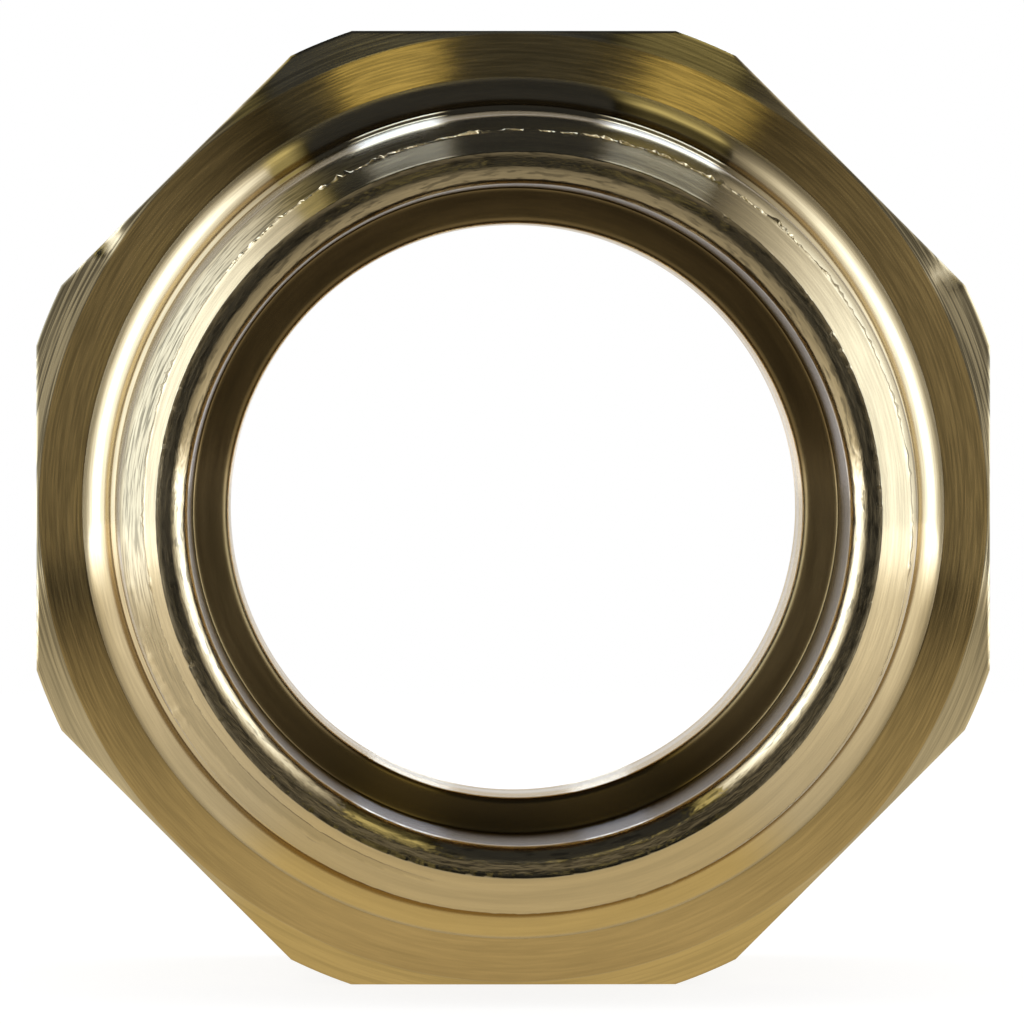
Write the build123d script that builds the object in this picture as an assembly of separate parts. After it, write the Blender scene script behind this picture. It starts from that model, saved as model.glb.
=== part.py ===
from build123d import *
from math import radians, tan
import os

# Brass straight adapter, turned as one piece from octagonal bar.
# Millimetres. The fitting lies on one flat: its axis runs along Y, the male end points to -Y,
# +Z is up, and the origin is below the middle of its length.

# Octagonal body
across_flats = 32.0
body_length = 19.0
corner_dia = 33.8
crown_inset = 0.1
crown_angle = 5.0
rear_angle = 30.0
face_slope = 2.0

# Male end: plain neck, 3/4 taper pipe thread (its crests only) and lead chamfer.
# The fillet at the neck's foot takes at most its share of the face above the neck.
male_length = 14.5
thread_gauge_dia = 26.441
thread_gauge_length = 9.5
thread_taper = 1 / 16
neck_rise = 0.17
neck_length = 1.9
neck_fillet = 0.97
fillet_share = 0.7
face_land = 0.02
lead_angle = 45.0

# Stepped bore: socket in the male end, narrower land, female thread at its core diameter
socket_dia = 21.4
socket_depth = 9.3
mouth_radius = 0.6
end_face_width = 0.45
bore_dia = 19.0
bore_edge = 0.14
land_length = 6.7
female_core_dia = 24.117
entry_depth = 1.4


def slope_rise(run, angle):
    """Axial rise of a cone over a radial run, with its angle taken from the end face."""
    return run * tan(radians(angle))


def crest_radius(from_end):
    """Radius of the taper thread's crests at a distance from the male end."""
    return (thread_gauge_dia + (from_end - thread_gauge_length) * thread_taper) / 2


# Stations along the axis, from the male end to the rear
y_front = -(male_length + body_length) / 2
y_face = y_front + male_length
y_rear = y_face + body_length
y_neck = y_face - neck_length
y_socket = y_front + socket_depth
y_land = y_socket + land_length

# Radii
end_radius = socket_dia / 2 + mouth_radius + end_face_width
lead_radius = crest_radius(slope_rise(crest_radius(0) - end_radius, lead_angle))
lead_depth = slope_rise(lead_radius - end_radius, lead_angle)
thread_end_radius = crest_radius(male_length - neck_length)
neck_radius = thread_end_radius + neck_rise
crown_radius = across_flats / 2 - crown_inset
foot_fillet = min(neck_fillet, fillet_share * (crown_radius - neck_radius))
face_radius = neck_radius + foot_fillet + face_land
face_drop = slope_rise(crown_radius - face_radius, face_slope)
crown_drop = slope_rise(corner_dia / 2 - crown_radius, crown_angle)
rear_drop = slope_rise(corner_dia / 2 - crown_radius, rear_angle)
core_radius = female_core_dia / 2


def turned_outside():
    """Outer half of the section, from the end face round to the rear face."""
    return [
        (end_radius, y_front),
        (lead_radius, y_front + lead_depth),
        (thread_end_radius, y_neck - neck_rise),
        (neck_radius, y_neck),
        (neck_radius, y_face),
        (face_radius, y_face),
        (crown_radius, y_face + face_drop),
        (corner_dia / 2, y_face + face_drop + crown_drop),
        (corner_dia / 2, y_rear - rear_drop),
        (crown_radius, y_rear),
    ]


def bored_inside():
    """Inner half of the section, from the rear face back to the end face."""
    return [
        (core_radius + entry_depth, y_rear),
        (core_radius, y_rear - entry_depth),
        (core_radius, y_land),
        (bore_dia / 2, y_land),
        (bore_dia / 2, y_socket + bore_edge),
        (bore_dia / 2 + bore_edge, y_socket),
        (socket_dia / 2, y_socket),
        (socket_dia / 2, y_front),
    ]


def rounded(section, corner, radius):
    """The section with the corner nearest to a point rounded."""
    return fillet(section.vertices().sort_by_distance((*corner, 0))[0], radius)


def turned_section():
    """Half section of the turned blank, with radius along X and the axis along Y."""
    section = make_face(Polyline(*turned_outside(), *bored_inside(), close=True))
    section = rounded(section, (neck_radius, y_face), foot_fillet)
    return rounded(section, (socket_dia / 2, y_front), mouth_radius)


def octagonal_bar():
    """Bar that the blank is turned from, with a flat below."""
    profile = Plane.XZ * RegularPolygon(across_flats / 2, 8, major_radius=False, rotation=22.5)
    return extrude(profile, amount=y_rear - y_front, both=True)


adapter_body = revolve(turned_section(), Axis.Y) & octagonal_bar()
adapter_body = Pos(0, 0, across_flats / 2) * adapter_body

os.makedirs("parts", exist_ok=True)
export_step(adapter_body, "parts/adapter_body.step")
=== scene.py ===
import math

import bpy
import numpy as np
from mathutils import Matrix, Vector


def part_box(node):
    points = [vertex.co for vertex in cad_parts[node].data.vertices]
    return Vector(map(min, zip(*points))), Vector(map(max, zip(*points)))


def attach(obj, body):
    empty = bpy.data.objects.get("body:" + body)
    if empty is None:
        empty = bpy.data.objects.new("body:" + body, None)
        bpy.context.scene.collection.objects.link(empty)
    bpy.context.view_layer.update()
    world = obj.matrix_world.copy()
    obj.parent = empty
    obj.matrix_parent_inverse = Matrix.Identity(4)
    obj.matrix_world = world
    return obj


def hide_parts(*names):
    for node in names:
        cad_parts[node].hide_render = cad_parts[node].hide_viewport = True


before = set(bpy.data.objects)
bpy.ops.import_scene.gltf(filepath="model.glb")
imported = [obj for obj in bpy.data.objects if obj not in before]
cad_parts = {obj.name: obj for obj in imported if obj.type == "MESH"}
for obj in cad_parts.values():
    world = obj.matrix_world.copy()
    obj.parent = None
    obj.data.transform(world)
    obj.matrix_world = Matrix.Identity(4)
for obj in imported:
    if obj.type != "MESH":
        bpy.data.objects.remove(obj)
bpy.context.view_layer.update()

# The fitting's axis runs along Y and its male end points to -Y. Sizes are in millimetres.
MM = 0.001
node_low, node_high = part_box("adapter_body")
across_flats = (node_high.z - node_low.z) / MM
axis_height = across_flats / 2
y_front = node_low.y / MM
y_rear = node_high.y / MM

# Octagonal body
corner_radius = 16.9
crown_inset = 0.1
crown_rise = math.tan(math.radians(5.0))
rear_rise = math.tan(math.radians(30.0))
face_rise = math.tan(math.radians(2.0))

# Male end
male_length = 14.5
thread_gauge_radius = 26.441 / 2
thread_gauge_length = 9.5
half_taper = 1 / 32
neck_rise = 0.17
neck_length = 1.9
foot_fillet = 0.97
face_land = 0.02

# Stepped bore
socket_radius = 10.7
socket_depth = 9.3
mouth_radius = 0.6
end_face_width = 0.45
bore_radius = 9.5
bore_edge = 0.14
land_length = 6.7
core_radius = 24.117 / 2
entry_depth = 1.4

# Pipe thread: 14 to the inch, 55 degrees, right-handed, with full crests and narrower roots
pitch = 1.814
half_flank = math.radians(27.5)
crest_round = 0.5
root_round = 0.1373 * pitch
male_phase = 0.337
female_phase = 0.2
runout_turns = 1.3

# Depth behind the end face in which the thread starts on the lead chamfer
start_depth = 1.3

# Stations and radii that follow from the sizes above
y_face = y_front + male_length
y_neck = y_face - neck_length
y_socket = y_front + socket_depth
y_land = y_socket + land_length
end_radius = socket_radius + mouth_radius + end_face_width
neck_start = male_length - neck_length
thread_length = neck_start - neck_rise
neck_radius = thread_gauge_radius + (neck_start - thread_gauge_length) * half_taper + neck_rise
foot_radius = neck_radius + foot_fillet
face_radius = foot_radius + face_land
crown_radius = across_flats / 2 - crown_inset
y_crown = y_face + (crown_radius - face_radius) * face_rise

# Torn spots at the male end: angle and width in degrees, reach over the end face
torn_spots = (
    (29.5, 1.3, 0.15),
    (26.6, 1.0, 0.11),
    (23.8, 0.9, 0.09),
    (200.8, 1.9, 0.12),
    (203.6, 1.6, 0.13),
    (341.0, 0.8, 0.07),
    (55.0, 1.2, 0.08),
    (262.0, 1.0, 0.06),
)

# Nicks in the crown's edge: angle and half width in degrees, depth
crown_nicks = ((146.5, 1.9, 0.16), (28.5, 1.6, 0.12))

# Columns round the axis, doubled at the thread's start and again at its torn edge
flat_columns = 28
corner_columns = 6

# Points along each side of a studio panel and of the floor
panel_steps = 96
floor_steps = 121


def crest_radius(from_end):
    """Radius of the taper thread's crests at a distance from the male end."""
    return thread_gauge_radius + (from_end - thread_gauge_length) * half_taper


def base_angles():
    """Angles of the coarse columns, with one at each end of every flat."""
    half_flat = math.acos(across_flats / 2 / corner_radius)
    next_flat = math.pi / 4 - half_flat
    angles = []
    for side in range(8):
        middle = side * math.pi / 4
        angles.append(np.linspace(middle - half_flat, middle + half_flat, flat_columns, endpoint=False))
        angles.append(np.linspace(middle + half_flat, middle + next_flat, corner_columns, endpoint=False))
    return np.concatenate(angles)


def doubled(angles):
    """The same columns with one more between each two."""
    following = np.append(angles[1:], angles[0] + 2 * math.pi)
    return np.stack([angles, (angles + following) / 2], axis=1).ravel()


def eased(share):
    """Smooth step from 0 to 1."""
    share = np.clip(share, 0, 1)
    return share * share * (3 - 2 * share)


def unit(vectors):
    """The same directions with length 1."""
    return vectors / np.linalg.norm(vectors, axis=1, keepdims=True)


def degrees_from(angles, middle):
    """Signed angle in degrees from a place round the axis."""
    return (np.degrees(angles) - middle + 180) % 360 - 180


def ring_noise(angles, cells, seed):
    """Smooth random values from 0 to 1 round the axis."""
    values = np.random.default_rng(seed).random(cells)
    place = (angles / (2 * math.pi) % 1) * cells
    first = np.floor(place).astype(int)
    share = eased(place - first)
    return values[first % cells] * (1 - share) + values[(first + 1) % cells] * share


def ring_teeth(angles, cells, seed):
    """Random teeth round the axis, each with a steep side and a long one. Most are small."""
    heights = np.random.default_rng(seed).random(cells) ** 4
    place = (angles / (2 * math.pi) % 1) * cells
    return heights[np.floor(place).astype(int) % cells] * (1 - place % 1)


def ring_row(angles, radius, station):
    """One row of (radius, station). Either may be one value for the whole ring."""
    ones = np.ones_like(angles)
    return np.stack([ones * radius, ones * station], axis=1)


def octagon_radius(angles):
    """Radius of the octagon with its corners turned off."""
    off_flat = (angles + math.pi / 8) % (math.pi / 4) - math.pi / 8
    return np.minimum(across_flats / 2 / np.cos(off_flat), corner_radius)


def thread_drop(turns):
    """Depth below the crest, with a crest at each whole turn."""
    off = np.abs(turns - np.round(turns)) * pitch
    from_root = pitch / 2 - off
    crest_reach = crest_round * math.cos(half_flank)
    root_reach = root_round * math.cos(half_flank)
    flank = crest_round * (1 - math.sin(half_flank)) + (off - crest_reach) / math.tan(half_flank)
    sharp_root = flank + from_root / math.tan(half_flank)
    crest = crest_round - np.sqrt(np.maximum(crest_round ** 2 - off ** 2, 0))
    root_arc = np.sqrt(np.maximum(root_round ** 2 - from_root ** 2, 0))
    root = sharp_root - root_round / math.sin(half_flank) + root_arc
    return np.where(off < crest_reach, crest, np.where(from_root < root_reach, root, flank))


def male_thread(angles, distance):
    """Radius of the male thread at a distance from the end, before the lead chamfer is turned."""
    turns = distance / pitch + angles / (2 * math.pi) - male_phase
    fade = np.clip((thread_length - distance) / (runout_turns * pitch), 0, 1)
    return crest_radius(distance) - thread_drop(turns) * fade


def rounded_rows(corners, angles):
    """Rows along a section, with each corner rounded by an arc.

    A corner is (radius, station, setback, steps of its arc, rows on to the next corner).
    """
    points = [ring_row(angles, corner[0], corner[1]) for corner in corners]
    last = len(corners) - 1
    rows = []
    for i, (_, _, setback, steps, spans) in enumerate(corners):
        point = points[i]
        leave = point
        if 0 < i < last:
            back = unit(points[i - 1] - point)
            ahead = unit(points[i + 1] - point)
            weight = np.sqrt(np.maximum((1 - (back * ahead).sum(axis=1, keepdims=True)) / 2, 1e-9))
            enter = point + back * setback
            leave = point + ahead * setback
            for t in np.linspace(0, 1, steps + 1):
                pull = 2 * t * (1 - t) * weight
                blend = (1 - t) ** 2 + pull + t * t
                rows.append(((1 - t) ** 2 * enter + pull * point + t * t * leave) / blend)
        else:
            rows.append(point)
        if i < last:
            away = unit(points[i + 1] - point)
            arrive = points[i + 1] - away * corners[i + 1][2]
            span = np.linalg.norm(arrive - leave, axis=1, keepdims=True)
            guard = np.minimum(0.08, span / 4)
            rows.append(leave + away * guard)
            for k in range(1, spans):
                rows.append(leave + away * (guard + (span - 2 * guard) * k / spans))
            rows.append(arrive - away * guard)
    return rows


def lead_rows(angles, distances):
    """Rows of lead chamfer and thread at distances from the male end, with the burr where they meet."""
    rows = []
    chips = ring_noise(angles, 560, 5) ** 2 * (0.35 + 0.65 * ring_noise(angles, 41, 6))
    burr = 0.012 + 0.3 * chips * (0.6 + 0.4 * np.sin(angles))
    for distance in distances:
        thread = male_thread(angles, distance)
        chamfer = end_radius + distance
        gap = thread - chamfer
        lip = burr * np.exp(-np.abs(gap - 0.03) / 0.04) * (distance < start_depth)
        rows.append(ring_row(angles, np.minimum(thread, chamfer) + lip, y_front + distance))
    return rows


def bore_thread_rows(angles, stations):
    """Rows of the female thread, from the entry chamfer inwards."""
    rows = []
    for station in stations:
        turns = station / pitch + angles / (2 * math.pi) - female_phase
        fade = np.clip((station - y_land) / (runout_turns * pitch), 0, 1)
        thread = core_radius + thread_drop(turns) * fade
        entry = core_radius + entry_depth - (y_rear - station)
        rows.append(ring_row(angles, np.maximum(thread, entry), station))
    return rows


def torn_edge_rows(angles):
    """Rows over the edge between end face and lead chamfer, where the cutter left a torn lip."""
    reach = 0.012 + 0.09 * ring_teeth(angles, 230, 1) * (0.25 + 0.75 * ring_noise(angles, 23, 2))
    for middle, width, height in torn_spots:
        along = degrees_from(angles, middle)
        reach += height * np.where(np.abs(along) < width / 2, 0.5 + along / width, 0)
    return [
        ring_row(angles, end_radius - reach - 0.012, y_front),
        ring_row(angles, end_radius - reach, y_front - 0.005),
        ring_row(angles, end_radius - reach * 0.4, y_front - 0.004),
        ring_row(angles, end_radius + 0.015, y_front + 0.004),
    ]


def inner_corners():
    """Section from the female thread's end through the stepped bore to the end face."""
    return [
        (core_radius, y_land + 0.7, 0, 0, 1),
        (core_radius, y_land, 0.15, 3, 2),
        (bore_radius, y_land, 0.08, 3, 3),
        (bore_radius, y_socket + bore_edge, 0.05, 2, 1),
        (bore_radius + bore_edge, y_socket, 0.09, 4, 2),
        (socket_radius, y_socket, 0.08, 3, 4),
        (socket_radius, y_front, mouth_radius, 12, 1),
        (end_radius - 0.24, y_front, 0, 0, 1),
    ]


def outer_corners(angles):
    """Section from the end of the male thread over the octagon to the rear face."""
    octagon = octagon_radius(angles)
    over_crown = octagon - crown_radius
    nick = np.zeros_like(angles)
    for middle, width, depth in crown_nicks:
        nick += depth * np.clip(1 - np.abs(degrees_from(angles, middle)) / width, 0, 1)
    return [
        (neck_radius - neck_rise, y_neck - neck_rise, 0, 0, 1),
        (neck_radius, y_neck, 0.06, 2, 1),
        (neck_radius, y_face, foot_fillet, 14, 1),
        (face_radius, y_face, 0.01, 1, 5),
        (crown_radius, y_crown, 0.03, 2, 3),
        (octagon, y_crown + over_crown * crown_rise + nick, 0.02, 2, 4),
        (octagon, y_rear - over_crown * rear_rise, 0.04, 3, 3),
        (crown_radius, y_rear, 0.04, 2, 2),
        (core_radius + entry_depth, y_rear, 0.05, 2, 1),
        (core_radius + entry_depth - 0.3, y_rear - 0.3, 0, 0, 1),
    ]


def stitched(low, high, count_low, count_high):
    """Faces between two rings of points, where one ring may have twice the points of the other."""
    if count_low > count_high:
        return [face[::-1] for face in stitched(high, low, count_high, count_low)]
    i = np.arange(count_low)
    j = (i + 1) % count_low
    if count_low == count_high:
        return np.stack([low + i, low + j, high + j, high + i], axis=1).tolist()
    start = high + 2 * i
    middle = start + 1
    end = high + (2 * i + 2) % count_high
    faces = [
        np.stack([low + i, middle, start], axis=1),
        np.stack([low + i, low + j, middle], axis=1),
        np.stack([low + j, end, middle], axis=1),
    ]
    return np.concatenate(faces).tolist()


def grid_faces(steps):
    """Faces of a square grid of points."""
    i, j = np.meshgrid(np.arange(steps - 1), np.arange(steps - 1))
    corner = (j * steps + i).ravel()
    return np.stack([corner, corner + 1, corner + steps + 1, corner + steps], axis=1).tolist()


def give(mesh, name, values):
    """Gives a mesh one value at each of its points."""
    mesh.attributes.new(name, "FLOAT", "POINT").data.foreach_set("value", values.astype(np.float32))


def finish_zones(angles, radius, station):
    """Shares of each finish over the mesh.

    Brushed is the front face of the octagon, coarse its crown, gloss what a form tool cut, marked the
    scratched edge of the socket, clean the bore behind it, and torn the rough flank. Other shares carry
    painted light: the furrows on the crown's sides, weighted by height as painted shade, most at the sides
    and least below; the lower parts, yellower as a painted reflection of warm light from below; the end
    face and flank, darker, with the mouth's upper half darker as painted shade; the socket, darkened as
    painted shade; the crack along the thread's start, with painted shade in its crease; and the burr at
    the top, whose glints are partly painted highlights.
    """
    behind_end = station - y_front
    male = (behind_end > 0.02) & (behind_end < thread_length) & (radius > end_radius - 0.4)
    start = male & (behind_end < start_depth)
    gap = male_thread(angles, behind_end) - end_radius - behind_end
    flank = male & (gap < -0.01)
    foot = (behind_end >= thread_length) & (station < y_face + 0.001) & (radius < foot_radius)
    mouth = (behind_end < mouth_radius) & (radius < socket_radius + mouth_radius)
    end = (behind_end < 0.001) & (radius < end_radius) & (radius > socket_radius + mouth_radius - 0.05)
    inside = (behind_end > mouth_radius) & (station < y_rear - 0.02)
    inside &= radius < core_radius + entry_depth - 0.1
    inside &= (radius < socket_radius + 0.01) | (station > y_land - 0.01)
    crown_line = y_crown + (radius - crown_radius) * crown_rise
    crown = (radius > crown_radius + 0.01) & (station < crown_line + 0.03)
    height = np.sin(angles)
    # Painted reflection: parts below are made yellower, as warm light bounced up from below.
    below = eased((-height - 0.72) / 0.14)
    from_middle = eased(1.5 * height)
    at_top = eased((height - 0.55) / 0.25)
    # Painted shade: the crown's furrows darken it by height, most at the sides, less at the top, least below.
    painted_shade_by_height = 0.15 + 0.85 * eased(1.5 * height + 0.9) * (1 - 0.7 * eased((height - 0.7) / 0.22))
    rough_side = np.clip(1.6 * np.cos(angles - math.radians(152)) - 0.6, 0.05, 1)
    crack_right = eased(4 * np.cos(angles - math.radians(20)) - 2.9)
    crack_left = eased(12 * np.cos(angles - math.radians(154)) - 11.2)
    cracks = np.maximum(crack_right, crack_left) * eased(2 * ring_noise(angles, 150, 8) - 0.5)
    glints = at_top * eased(2.2 * ring_noise(angles, 420, 9) - 0.7)
    return {
        "brushed": (radius > foot_radius) & (radius < crown_radius + 0.01) & (station > y_face - 0.1),
        "coarse": crown,
        # Crown furrows, weighted by height as painted shade.
        "furrows_and_painted_shade": crown * painted_shade_by_height,
        # Lower parts made yellower as a painted reflection of warm light from below.
        "painted_warm_reflection": np.maximum(foot | crown, 0.4 * male) * below,
        "gloss": foot | mouth | end,
        "marked": mouth | end,
        # End face and flank darker, and the mouth's upper half darker as painted shade.
        "dim_and_painted_shade": 0.58 * end + 0.12 * flank + 0.38 * mouth * from_middle,
        # The socket, darkened as painted shade.
        "painted_socket_shade": inside & (station < y_socket + 0.1),
        "clean": inside & (station >= y_socket + 0.1),
        # Crack along the thread's start, with painted shade in the crease where thread meets chamfer.
        "crack_and_crease_shade": start * np.exp(-((gap + 0.02) / 0.04) ** 2) * cracks,
        # Burr at the top: real bumps, with its glints also painted as brighter colour.
        "burr": start * np.exp(-((gap - 0.01) / 0.06) ** 2) * glints,
        "torn": flank * (behind_end < 1.6) * rough_side * eased((behind_end - 0.2) / 0.25),
    }


def adapter_mesh():
    """The whole fitting as one closed mesh, ring by ring along its section."""
    coarse = base_angles()
    fine = doubled(coarse)
    finest = doubled(fine)
    start = np.concatenate([np.arange(0.03, start_depth, 0.034), np.arange(start_depth, 3.2, 0.11)])
    onward = np.arange(3.3, thread_length, 0.2)
    stations = np.arange(y_rear - 0.45, y_land + 0.75, -0.3)
    sections = [
        (coarse, rounded_rows(inner_corners(), coarse)),
        (fine, [ring_row(fine, end_radius - 0.22, y_front)]),
        (finest, torn_edge_rows(finest)),
        (fine, lead_rows(fine, start)),
        (coarse, lead_rows(coarse, onward)),
        (coarse, rounded_rows(outer_corners(coarse), coarse)),
        (coarse, bore_thread_rows(coarse, stations)),
    ]
    rows_made = []
    columns = []
    rings = []
    made = 0
    for angles, rows in sections:
        for row in rows:
            rows_made.append(row)
            columns.append(angles)
            rings.append((made, len(angles)))
            made += len(angles)
    radius, station = np.concatenate(rows_made).T
    angles = np.concatenate(columns)
    points = np.stack([radius * np.cos(angles), station, axis_height + radius * np.sin(angles)], axis=1)
    faces = []
    for (low, count_low), (high, count_high) in zip(rings, rings[1:] + rings[:1]):
        faces += stitched(low, high, count_low, count_high)
    mesh = bpy.data.meshes.new("adapter")
    mesh.from_pydata((points * MM).tolist(), [], faces)
    mesh.validate()
    mesh.update()
    if sum(p.area * p.normal.dot(p.center) for p in mesh.polygons) < 0:
        mesh.flip_normals()
    mesh.shade_smooth()
    for name, share in finish_zones(angles, radius, station).items():
        give(mesh, name, share)
    return mesh


class Graph:
    """Short calls for building a node tree. An input is a socket or a plain value."""

    def __init__(self, tree):
        self.tree = tree

    def node(self, kind, output, inputs, **settings):
        made = self.tree.nodes.new(kind)
        for name, value in settings.items():
            setattr(made, name, value)
        for name, value in inputs.items():
            if isinstance(value, bpy.types.NodeSocket):
                self.tree.links.new(value, made.inputs[name])
            else:
                made.inputs[name].default_value = value
        return made.outputs[output]

    def math(self, operation, first, second=0.0):
        return self.node("ShaderNodeMath", "Value", {0: first, 1: second}, operation=operation)

    def plus(self, first, *others):
        for other in others:
            first = self.math("ADD", first, other)
        return first

    def times(self, first, *others):
        for other in others:
            first = self.math("MULTIPLY", first, other)
        return first

    def combine(self, x, y, z):
        return self.node("ShaderNodeCombineXYZ", "Vector", {"X": x, "Y": y, "Z": z})

    def attribute(self, name):
        return self.node("ShaderNodeAttribute", "Fac", {}, attribute_name=name)

    def spread(self, value, low, high, to_low, to_high):
        ends = {"Value": value, "From Min": low, "From Max": high, "To Min": to_low, "To Max": to_high}
        return self.node("ShaderNodeMapRange", "Result", ends, interpolation_type="SMOOTHSTEP")

    def mix(self, share, first, second, **settings):
        return self.node("ShaderNodeMix", 2, {0: share, 6: first, 7: second}, data_type="RGBA", **settings)


def new_material(name):
    """An empty material with a node tree."""
    material = bpy.data.materials.new(name)
    material.use_nodes = True
    return material


def placed(name, data):
    """A new object in the scene."""
    made = bpy.data.objects.new(name, data)
    bpy.context.scene.collection.objects.link(made)
    return made


def lathe_marks(graph):
    """Noises drawn out round the axis, as the lathe's marks are, and the height from -1 below to 1 above."""
    split = graph.tree.nodes.new("ShaderNodeSeparateXYZ")
    graph.tree.links.new(graph.node("ShaderNodeTexCoord", "Object", {}), split.inputs["Vector"])
    x = graph.math("DIVIDE", split.outputs["X"], MM)
    y = graph.math("DIVIDE", split.outputs["Y"], MM)
    z = graph.math("SUBTRACT", graph.math("DIVIDE", split.outputs["Z"], MM), axis_height)
    radius = graph.math("SQRT", graph.plus(graph.times(x, x), graph.times(z, z)))
    east = graph.math("DIVIDE", x, radius)
    up = graph.math("DIVIDE", z, radius)

    def streaks(across, along, detail):
        """Noise with so many cells to the millimetre across the marks, and to a radian along them."""
        where = graph.combine(graph.times(radius, across), graph.times(y, across), graph.times(east, along))
        inputs = {"Vector": where, "W": graph.times(up, along), "Scale": 1.0, "Detail": detail}
        return graph.node("ShaderNodeTexNoise", "Fac", inputs, noise_dimensions="4D")

    marks = {
        "fine": streaks(15.0, 10.0, 2.0),
        "broad": streaks(2.2, 1.6, 2.0),
        "feed": streaks(12.0, 3.0, 2.0),
        "tears": streaks(20.0, 11.0, 3.0),
        "flecks": streaks(8.0, 18.0, 2.0),
        "sparks": streaks(12.0, 60.0, 2.0),
    }
    return marks, up


def brass_colour(graph, marks, up):
    """Colour of each finish, with its furrows, tears and cracks darker; painted shade on the crown's furrows
    by height, in the socket, on the mouth's top and in the cracks' crease; a painted warm reflection below;
    and the burrs' glints brighter as painted highlights.
    """
    brushed = graph.attribute("brushed")
    colour = graph.mix(brushed, (0.43, 0.333, 0.177, 1), (0.37, 0.25, 0.09, 1))
    colour = graph.mix(graph.attribute("coarse"), colour, (0.43, 0.338, 0.18, 1))
    # Painted reflection: the lower parts are yellower, as warm light from below.
    colour = graph.mix(graph.attribute("painted_warm_reflection"), colour, (0.45, 0.31, 0.106, 1))
    # Painted shade: the socket is much darker.
    colour = graph.mix(graph.attribute("painted_socket_shade"), colour, (0.135, 0.09, 0.034, 1))
    colour = graph.mix(graph.attribute("clean"), colour, (0.72, 0.57, 0.33, 1))
    grain = graph.times(
        graph.math("SUBTRACT", graph.spread(marks["fine"], 0.3, 0.7, 0.0, 1.0), 0.6),
        graph.spread(brushed, 0.0, 1.0, 0.2, 0.42),
        graph.spread(up, -0.95, -0.1, 0.3, 1.0),
    )
    shade = graph.times(graph.spread(marks["broad"], 0.3, 0.7, 0.9, 1.08), graph.plus(grain, 1.0))
    # Furrows on the crown, weighted by height as painted shade.
    dark = graph.times(graph.attribute("furrows_and_painted_shade"), graph.spread(marks["feed"], 0.4, 0.6, 0.65, -0.3))
    tear = graph.times(graph.attribute("torn"), graph.spread(marks["tears"], 0.45, 0.62, 0.0, 0.6))
    scratch = graph.times(graph.attribute("marked"), graph.spread(marks["flecks"], 0.52, 0.66, 0.0, 0.45))
    # A real crack, with painted shade in its crease.
    crack_and_crease_shade = graph.times(graph.attribute("crack_and_crease_shade"), 0.8)
    for other in (tear, scratch, crack_and_crease_shade):
        dark = graph.math("MAXIMUM", dark, other)
    # Darkens the end face and flank, and the mouth's upper half as painted shade.
    for loss in (dark, graph.attribute("dim_and_painted_shade")):
        shade = graph.times(shade, graph.math("SUBTRACT", 1.0, loss))
    # Painted highlight: the burr's glints at the top are brighter in colour.
    shade = graph.times(shade, graph.plus(graph.times(graph.attribute("burr"), 1.2), 1.0))
    return graph.mix(1.0, colour, shade, blend_type="MULTIPLY")


def brass_roughness(graph, marks):
    """Roughness, lower on the octagon's front and where a form tool cut, higher on torn metal."""
    front = graph.math("MAXIMUM", graph.attribute("brushed"), graph.attribute("coarse"))
    smooth = graph.spread(graph.attribute("gloss"), 0.0, 1.0, 0.2, 0.12)
    roughness = graph.plus(
        graph.math("SUBTRACT", smooth, graph.times(front, 0.12)),
        graph.times(graph.attribute("torn"), 0.12),
        graph.times(graph.attribute("burr"), 0.15),
    )
    return graph.times(roughness, graph.spread(marks["broad"], 0.3, 0.7, 0.9, 1.1))


def brass_relief(graph, marks):
    """Normals of the turning marks, furrows, torn spots, scratches and burrs."""
    mark_depth = 0.0012 * MM
    height = graph.plus(
        marks["fine"],
        marks["broad"],
        graph.times(graph.attribute("furrows_and_painted_shade"), marks["feed"], 3.0),
        graph.times(graph.attribute("torn"), marks["tears"], 3.0),
        graph.times(graph.attribute("marked"), marks["flecks"], 8.0),
        graph.times(graph.attribute("burr"), marks["sparks"], 260.0),
    )
    return graph.node("ShaderNodeBump", "Normal", {"Strength": 1.0, "Distance": mark_depth, "Height": height})


def brass_material():
    """Turned brass, with streaks that follow the lathe."""
    material = new_material("brass")
    tree = material.node_tree
    graph = Graph(tree)
    marks, up = lathe_marks(graph)
    tangent = graph.node("ShaderNodeTangent", "Tangent", {}, direction_type="RADIAL", axis="Y")
    shader = tree.nodes["Principled BSDF"]
    shader.inputs["Metallic"].default_value = 1.0
    shader.inputs["Specular Tint"].default_value = (0.75, 0.75, 0.77, 1)
    shader.inputs["Anisotropic"].default_value = 1.0
    shader.inputs["Anisotropic Rotation"].default_value = 0.25
    tree.links.new(tangent, shader.inputs["Tangent"])
    tree.links.new(brass_colour(graph, marks, up), shader.inputs["Base Color"])
    tree.links.new(brass_roughness(graph, marks), shader.inputs["Roughness"])
    tree.links.new(brass_relief(graph, marks), shader.inputs["Normal"])
    return material


def make_adapter():
    """The fitting, in place of its CAD node."""
    adapter = placed("adapter", adapter_mesh())
    adapter.data.materials.append(brass_material())
    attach(adapter, "root")
    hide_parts("adapter_body")


def light_material(name, colour, cool):
    """Light whose strength is given at each point of a panel, cooler where it is stronger."""
    material = new_material(name)
    material.cycles.emission_sampling = "NONE"
    tree = material.node_tree
    tree.nodes.clear()
    graph = Graph(tree)
    level = graph.attribute("level")
    red, green, blue = colour
    green = graph.times(graph.plus(graph.times(level, 0.3 * cool), 1.0), green)
    blue = graph.times(graph.plus(graph.times(level, cool), 1.0), blue)
    tint = graph.combine(red, green, blue)
    light = graph.node("ShaderNodeEmission", "Emission", {"Color": tint, "Strength": level})
    tree.links.new(light, tree.nodes.new("ShaderNodeOutputMaterial").inputs["Surface"])
    return material


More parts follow.
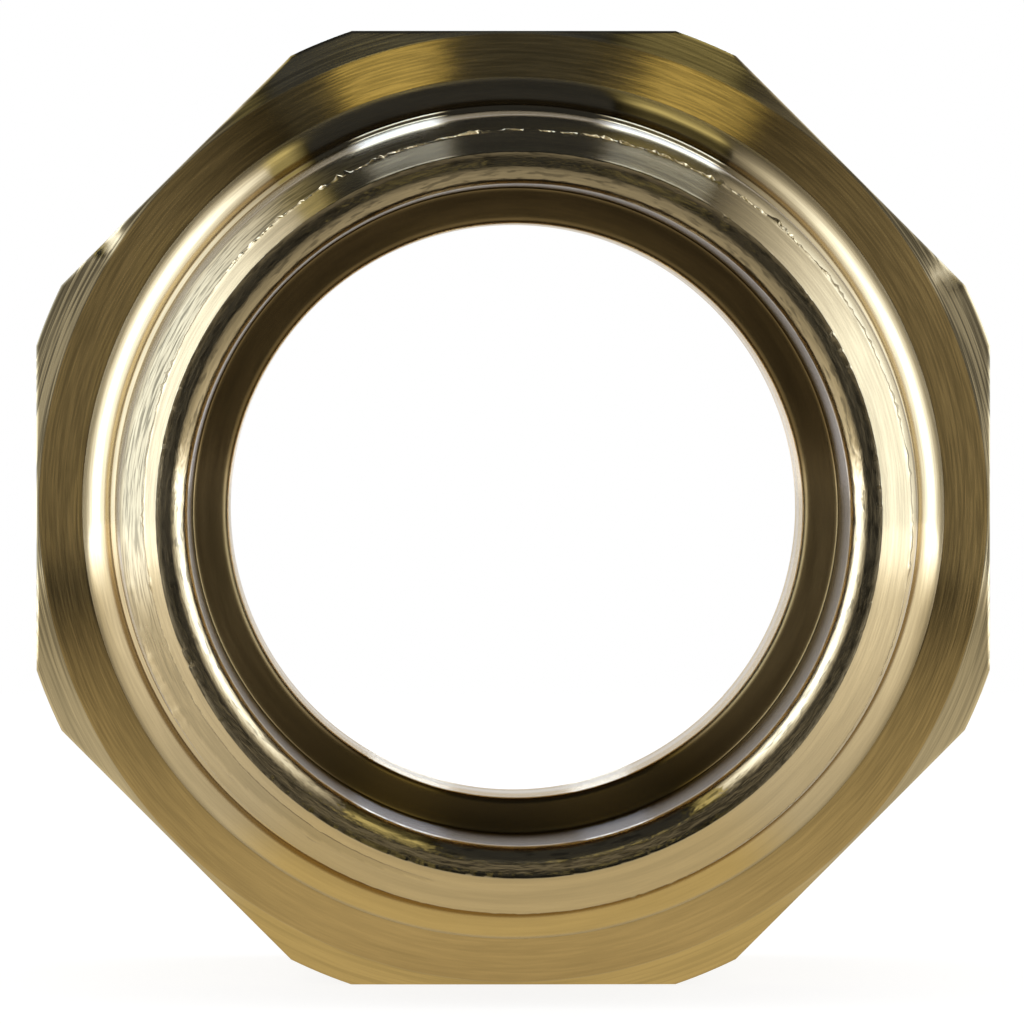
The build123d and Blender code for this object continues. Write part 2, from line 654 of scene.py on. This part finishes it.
def make_panel(name, material, reach, around, profile):
    """A studio panel that the metal reflects, as a patch of a sphere round the octagon's face.

    Its light is the product of two profiles. One has pairs of azimuth and share, with the azimuth in
    degrees round the axis from the right upwards, the other pairs of tilt and level, with the tilt in
    degrees away from the camera's side.
    """
    azimuths, shares = zip(*around)
    tilts, levels = zip(*profile)
    round_axis, off_axis = np.meshgrid(
        np.linspace(azimuths[0], azimuths[-1], panel_steps),
        np.linspace(tilts[0], tilts[-1], panel_steps),
    )
    azimuth = np.radians(round_axis).ravel()
    tilt = np.radians(off_axis).ravel()
    x = reach * np.sin(tilt) * np.cos(azimuth)
    y = y_face * MM - reach * np.cos(tilt)
    z = axis_height * MM + reach * np.sin(tilt) * np.sin(azimuth)
    mesh = bpy.data.meshes.new(name)
    mesh.from_pydata(np.stack([x, y, z], axis=1).tolist(), [], grid_faces(panel_steps))
    strength = np.interp(off_axis, tilts, levels) * np.interp(round_axis, azimuths, shares)
    give(mesh, "level", strength.ravel())
    mesh.materials.append(material)
    panel = placed(name, mesh)
    panel.visible_camera = False
    panel.visible_diffuse = False
    panel.visible_shadow = False


def make_side_panels(daylight):
    """Soft panels left and right."""
    inner = ((3, 0.03), (6, 0.35), (10, 0.48), (14, 0.65), (20, 0.9), (28, 1.6), (37, 2.4), (44, 3.3))
    outer = ((52, 4.2), (68, 4.2), (80, 2.5), (92, 2.1), (112, 2.0), (132, 0.4))
    right = ((-18, 0), (-12, 1), (24, 1), (36, 0.75), (46, 0.42), (56, 0.12), (63, 0))
    left_edge = ((119.5, 0), (122, 0.22), (126, 0.36), (130, 0.55), (138, 0.9))
    left = left_edge + ((146, 1.05), (192, 1.05), (198, 0))
    make_panel("panel_right", daylight, 0.70, right, inner + outer)
    make_panel("panel_left", daylight, 0.70, left, inner + outer)


def make_overhead_strips(daylight):
    """Two bright strips above the fitting."""
    strip = ((98, 0), (101, 1.2), (106, 1.2), (110, 5), (150, 5), (154, 0))
    make_panel("strip_right", daylight, 0.65, ((57, 0), (59, 1), (74, 1), (77, 0)), strip)
    make_panel("strip_left", daylight, 0.65, ((99, 0), (101, 1), (112, 1), (114, 0)), strip)


def make_warm_lights(warm):
    """Two lamps above the camera and the glow round them."""
    lamp = ((3, 0), (4, 1.42), (8, 1.42), (9, 0))
    make_panel("lamp_right", warm, 0.65, ((49, 0), (50, 1), (64, 1), (65, 0)), lamp)
    make_panel("lamp_left", warm, 0.65, ((93.5, 0), (94.5, 1), (109, 1), (110, 0)), lamp)
    low_right = ((10, 0.12), (13, 0.25), (18, 0.7), (23, 0.5), (27, 0.55), (30, 0.95), (35, 1.2))
    high_right = ((40, 1.25), (44, 1.0), (48, 0.5), (54, 0.3), (60, 0.12), (72, 0.12), (92, 0.2))
    make_panel("glow_right", warm, 0.65, ((57, 0), (59, 1), (70, 1), (75, 0)), low_right + high_right)
    low_left = ((10, 0.15), (20, 0.4), (30, 0.9), (38, 1.4), (42, 1.2), (46, 0.8))
    high_left = ((60, 0.75), (104, 0.65))
    make_panel("glow_left", warm, 0.65, ((119.5, 0), (122.5, 1), (126, 1)), low_left + high_left)


def make_cards(card):
    """Dark cards behind the lights, above and below."""
    above = ((0, 0.115), (12, 0.115), (16, 0.055), (132, 0.055))
    below = ((0, 0.055), (30, 0.055))
    make_panel("card_above", card, 0.80, ((-19, 1), (199, 1)), above)
    make_panel("card_below", card, 0.80, ((190, 1), (350, 1)), below)


def make_studio():
    """The lights and cards of the photo, as the metal shows them."""
    daylight = light_material("daylight", (1, 1, 1), 0.2)
    make_side_panels(daylight)
    make_overhead_strips(daylight)
    make_warm_lights(light_material("warm", (1, 0.98, 0.6), 0.0))
    make_cards(light_material("card", (0.9, 1.05, 1.4), 0.0))


def make_world():
    """Plain white background that also lights the floor."""
    world = bpy.data.worlds.new("studio")
    bpy.context.scene.world = world
    world.use_nodes = True
    world.node_tree.nodes["Background"].inputs["Color"].default_value = (1, 1, 1, 1)


def floor_material():
    """White to the camera. The metal sees it as bright as the level at each point."""
    material = new_material("floor")
    material.cycles.emission_sampling = "NONE"
    tree = material.node_tree
    graph = Graph(tree)
    off_camera = graph.math("SUBTRACT", 1.0, graph.node("ShaderNodeLightPath", "Is Camera Ray", {}))
    uneven = graph.times(graph.math("SUBTRACT", graph.attribute("level"), 1.0), off_camera)
    level = graph.plus(uneven, 1.0)
    grey = graph.times(level, 0.22)
    above = graph.math("MAXIMUM", uneven, 0.0)
    green = graph.plus(graph.times(above, 0.07), 1.0)
    blue = graph.plus(graph.times(above, 0.25), 1.0)
    shader = tree.nodes["Principled BSDF"]
    shader.inputs["Roughness"].default_value = 1.0
    shader.inputs["Specular IOR Level"].default_value = 0.0
    tree.links.new(graph.combine(grey, grey, grey), shader.inputs["Base Color"])
    tree.links.new(graph.combine(1.0, green, blue), shader.inputs["Emission Color"])
    tree.links.new(graph.times(level, 0.85), shader.inputs["Emission Strength"])
    return material


def make_floor():
    """Floor that keeps the object's shadow. The metal sees it brighter at the sides and darker ahead."""
    reach = np.linspace(-300, 300, floor_steps)
    across, along = np.meshgrid(reach, reach)
    off_axis = np.abs(across)
    ahead = 0.3 + 0.7 * eased(-along / 60)
    to_side = 1 + 0.5 * eased((off_axis - 8) / 45) + 2.6 * eased((off_axis - 50) / 85) * ahead
    shaded = 1 - np.interp(-along, (20, 54, 117, 245), (1, 0.8, 0.56, 0.2))
    to_camera = 1 - shaded * eased((90 - off_axis) / 45)
    points = np.stack([across.ravel(), along.ravel(), np.zeros(across.size)], axis=1) * MM
    mesh = bpy.data.meshes.new("floor")
    mesh.from_pydata(points.tolist(), [], grid_faces(floor_steps))
    give(mesh, "level", (to_side * to_camera).ravel())
    mesh.materials.append(floor_material())
    placed("floor", mesh)


def make_camera():
    """Camera of the photo: far away, a little above and to the left of the axis."""
    focal_pixels = 11686.0
    image_pixels = 1024
    right_pixels = -1.5
    up_pixels = -4.0
    distance = 0.392
    left = math.radians(0.73)
    above = math.radians(0.93)
    face_middle = Vector((0, y_face * MM, axis_height * MM))
    away = Vector((-math.sin(left) * math.cos(above), -math.cos(left) * math.cos(above), math.sin(above)))
    camera_data = bpy.data.cameras.new("camera")
    camera_data.sensor_width = 36.0
    camera_data.lens = camera_data.sensor_width * focal_pixels / image_pixels
    camera_data.clip_start = 0.01
    camera_data.shift_x = right_pixels / image_pixels
    camera_data.shift_y = up_pixels / image_pixels
    camera = placed("camera", camera_data)
    camera.location = face_middle + away * distance
    camera.rotation_euler = (-away).to_track_quat("-Z", "Y").to_euler()
    bpy.context.scene.camera = camera


make_adapter()
make_world()
make_floor()
make_studio()
make_camera()
bpy.context.scene.view_settings.view_transform = "Standard"
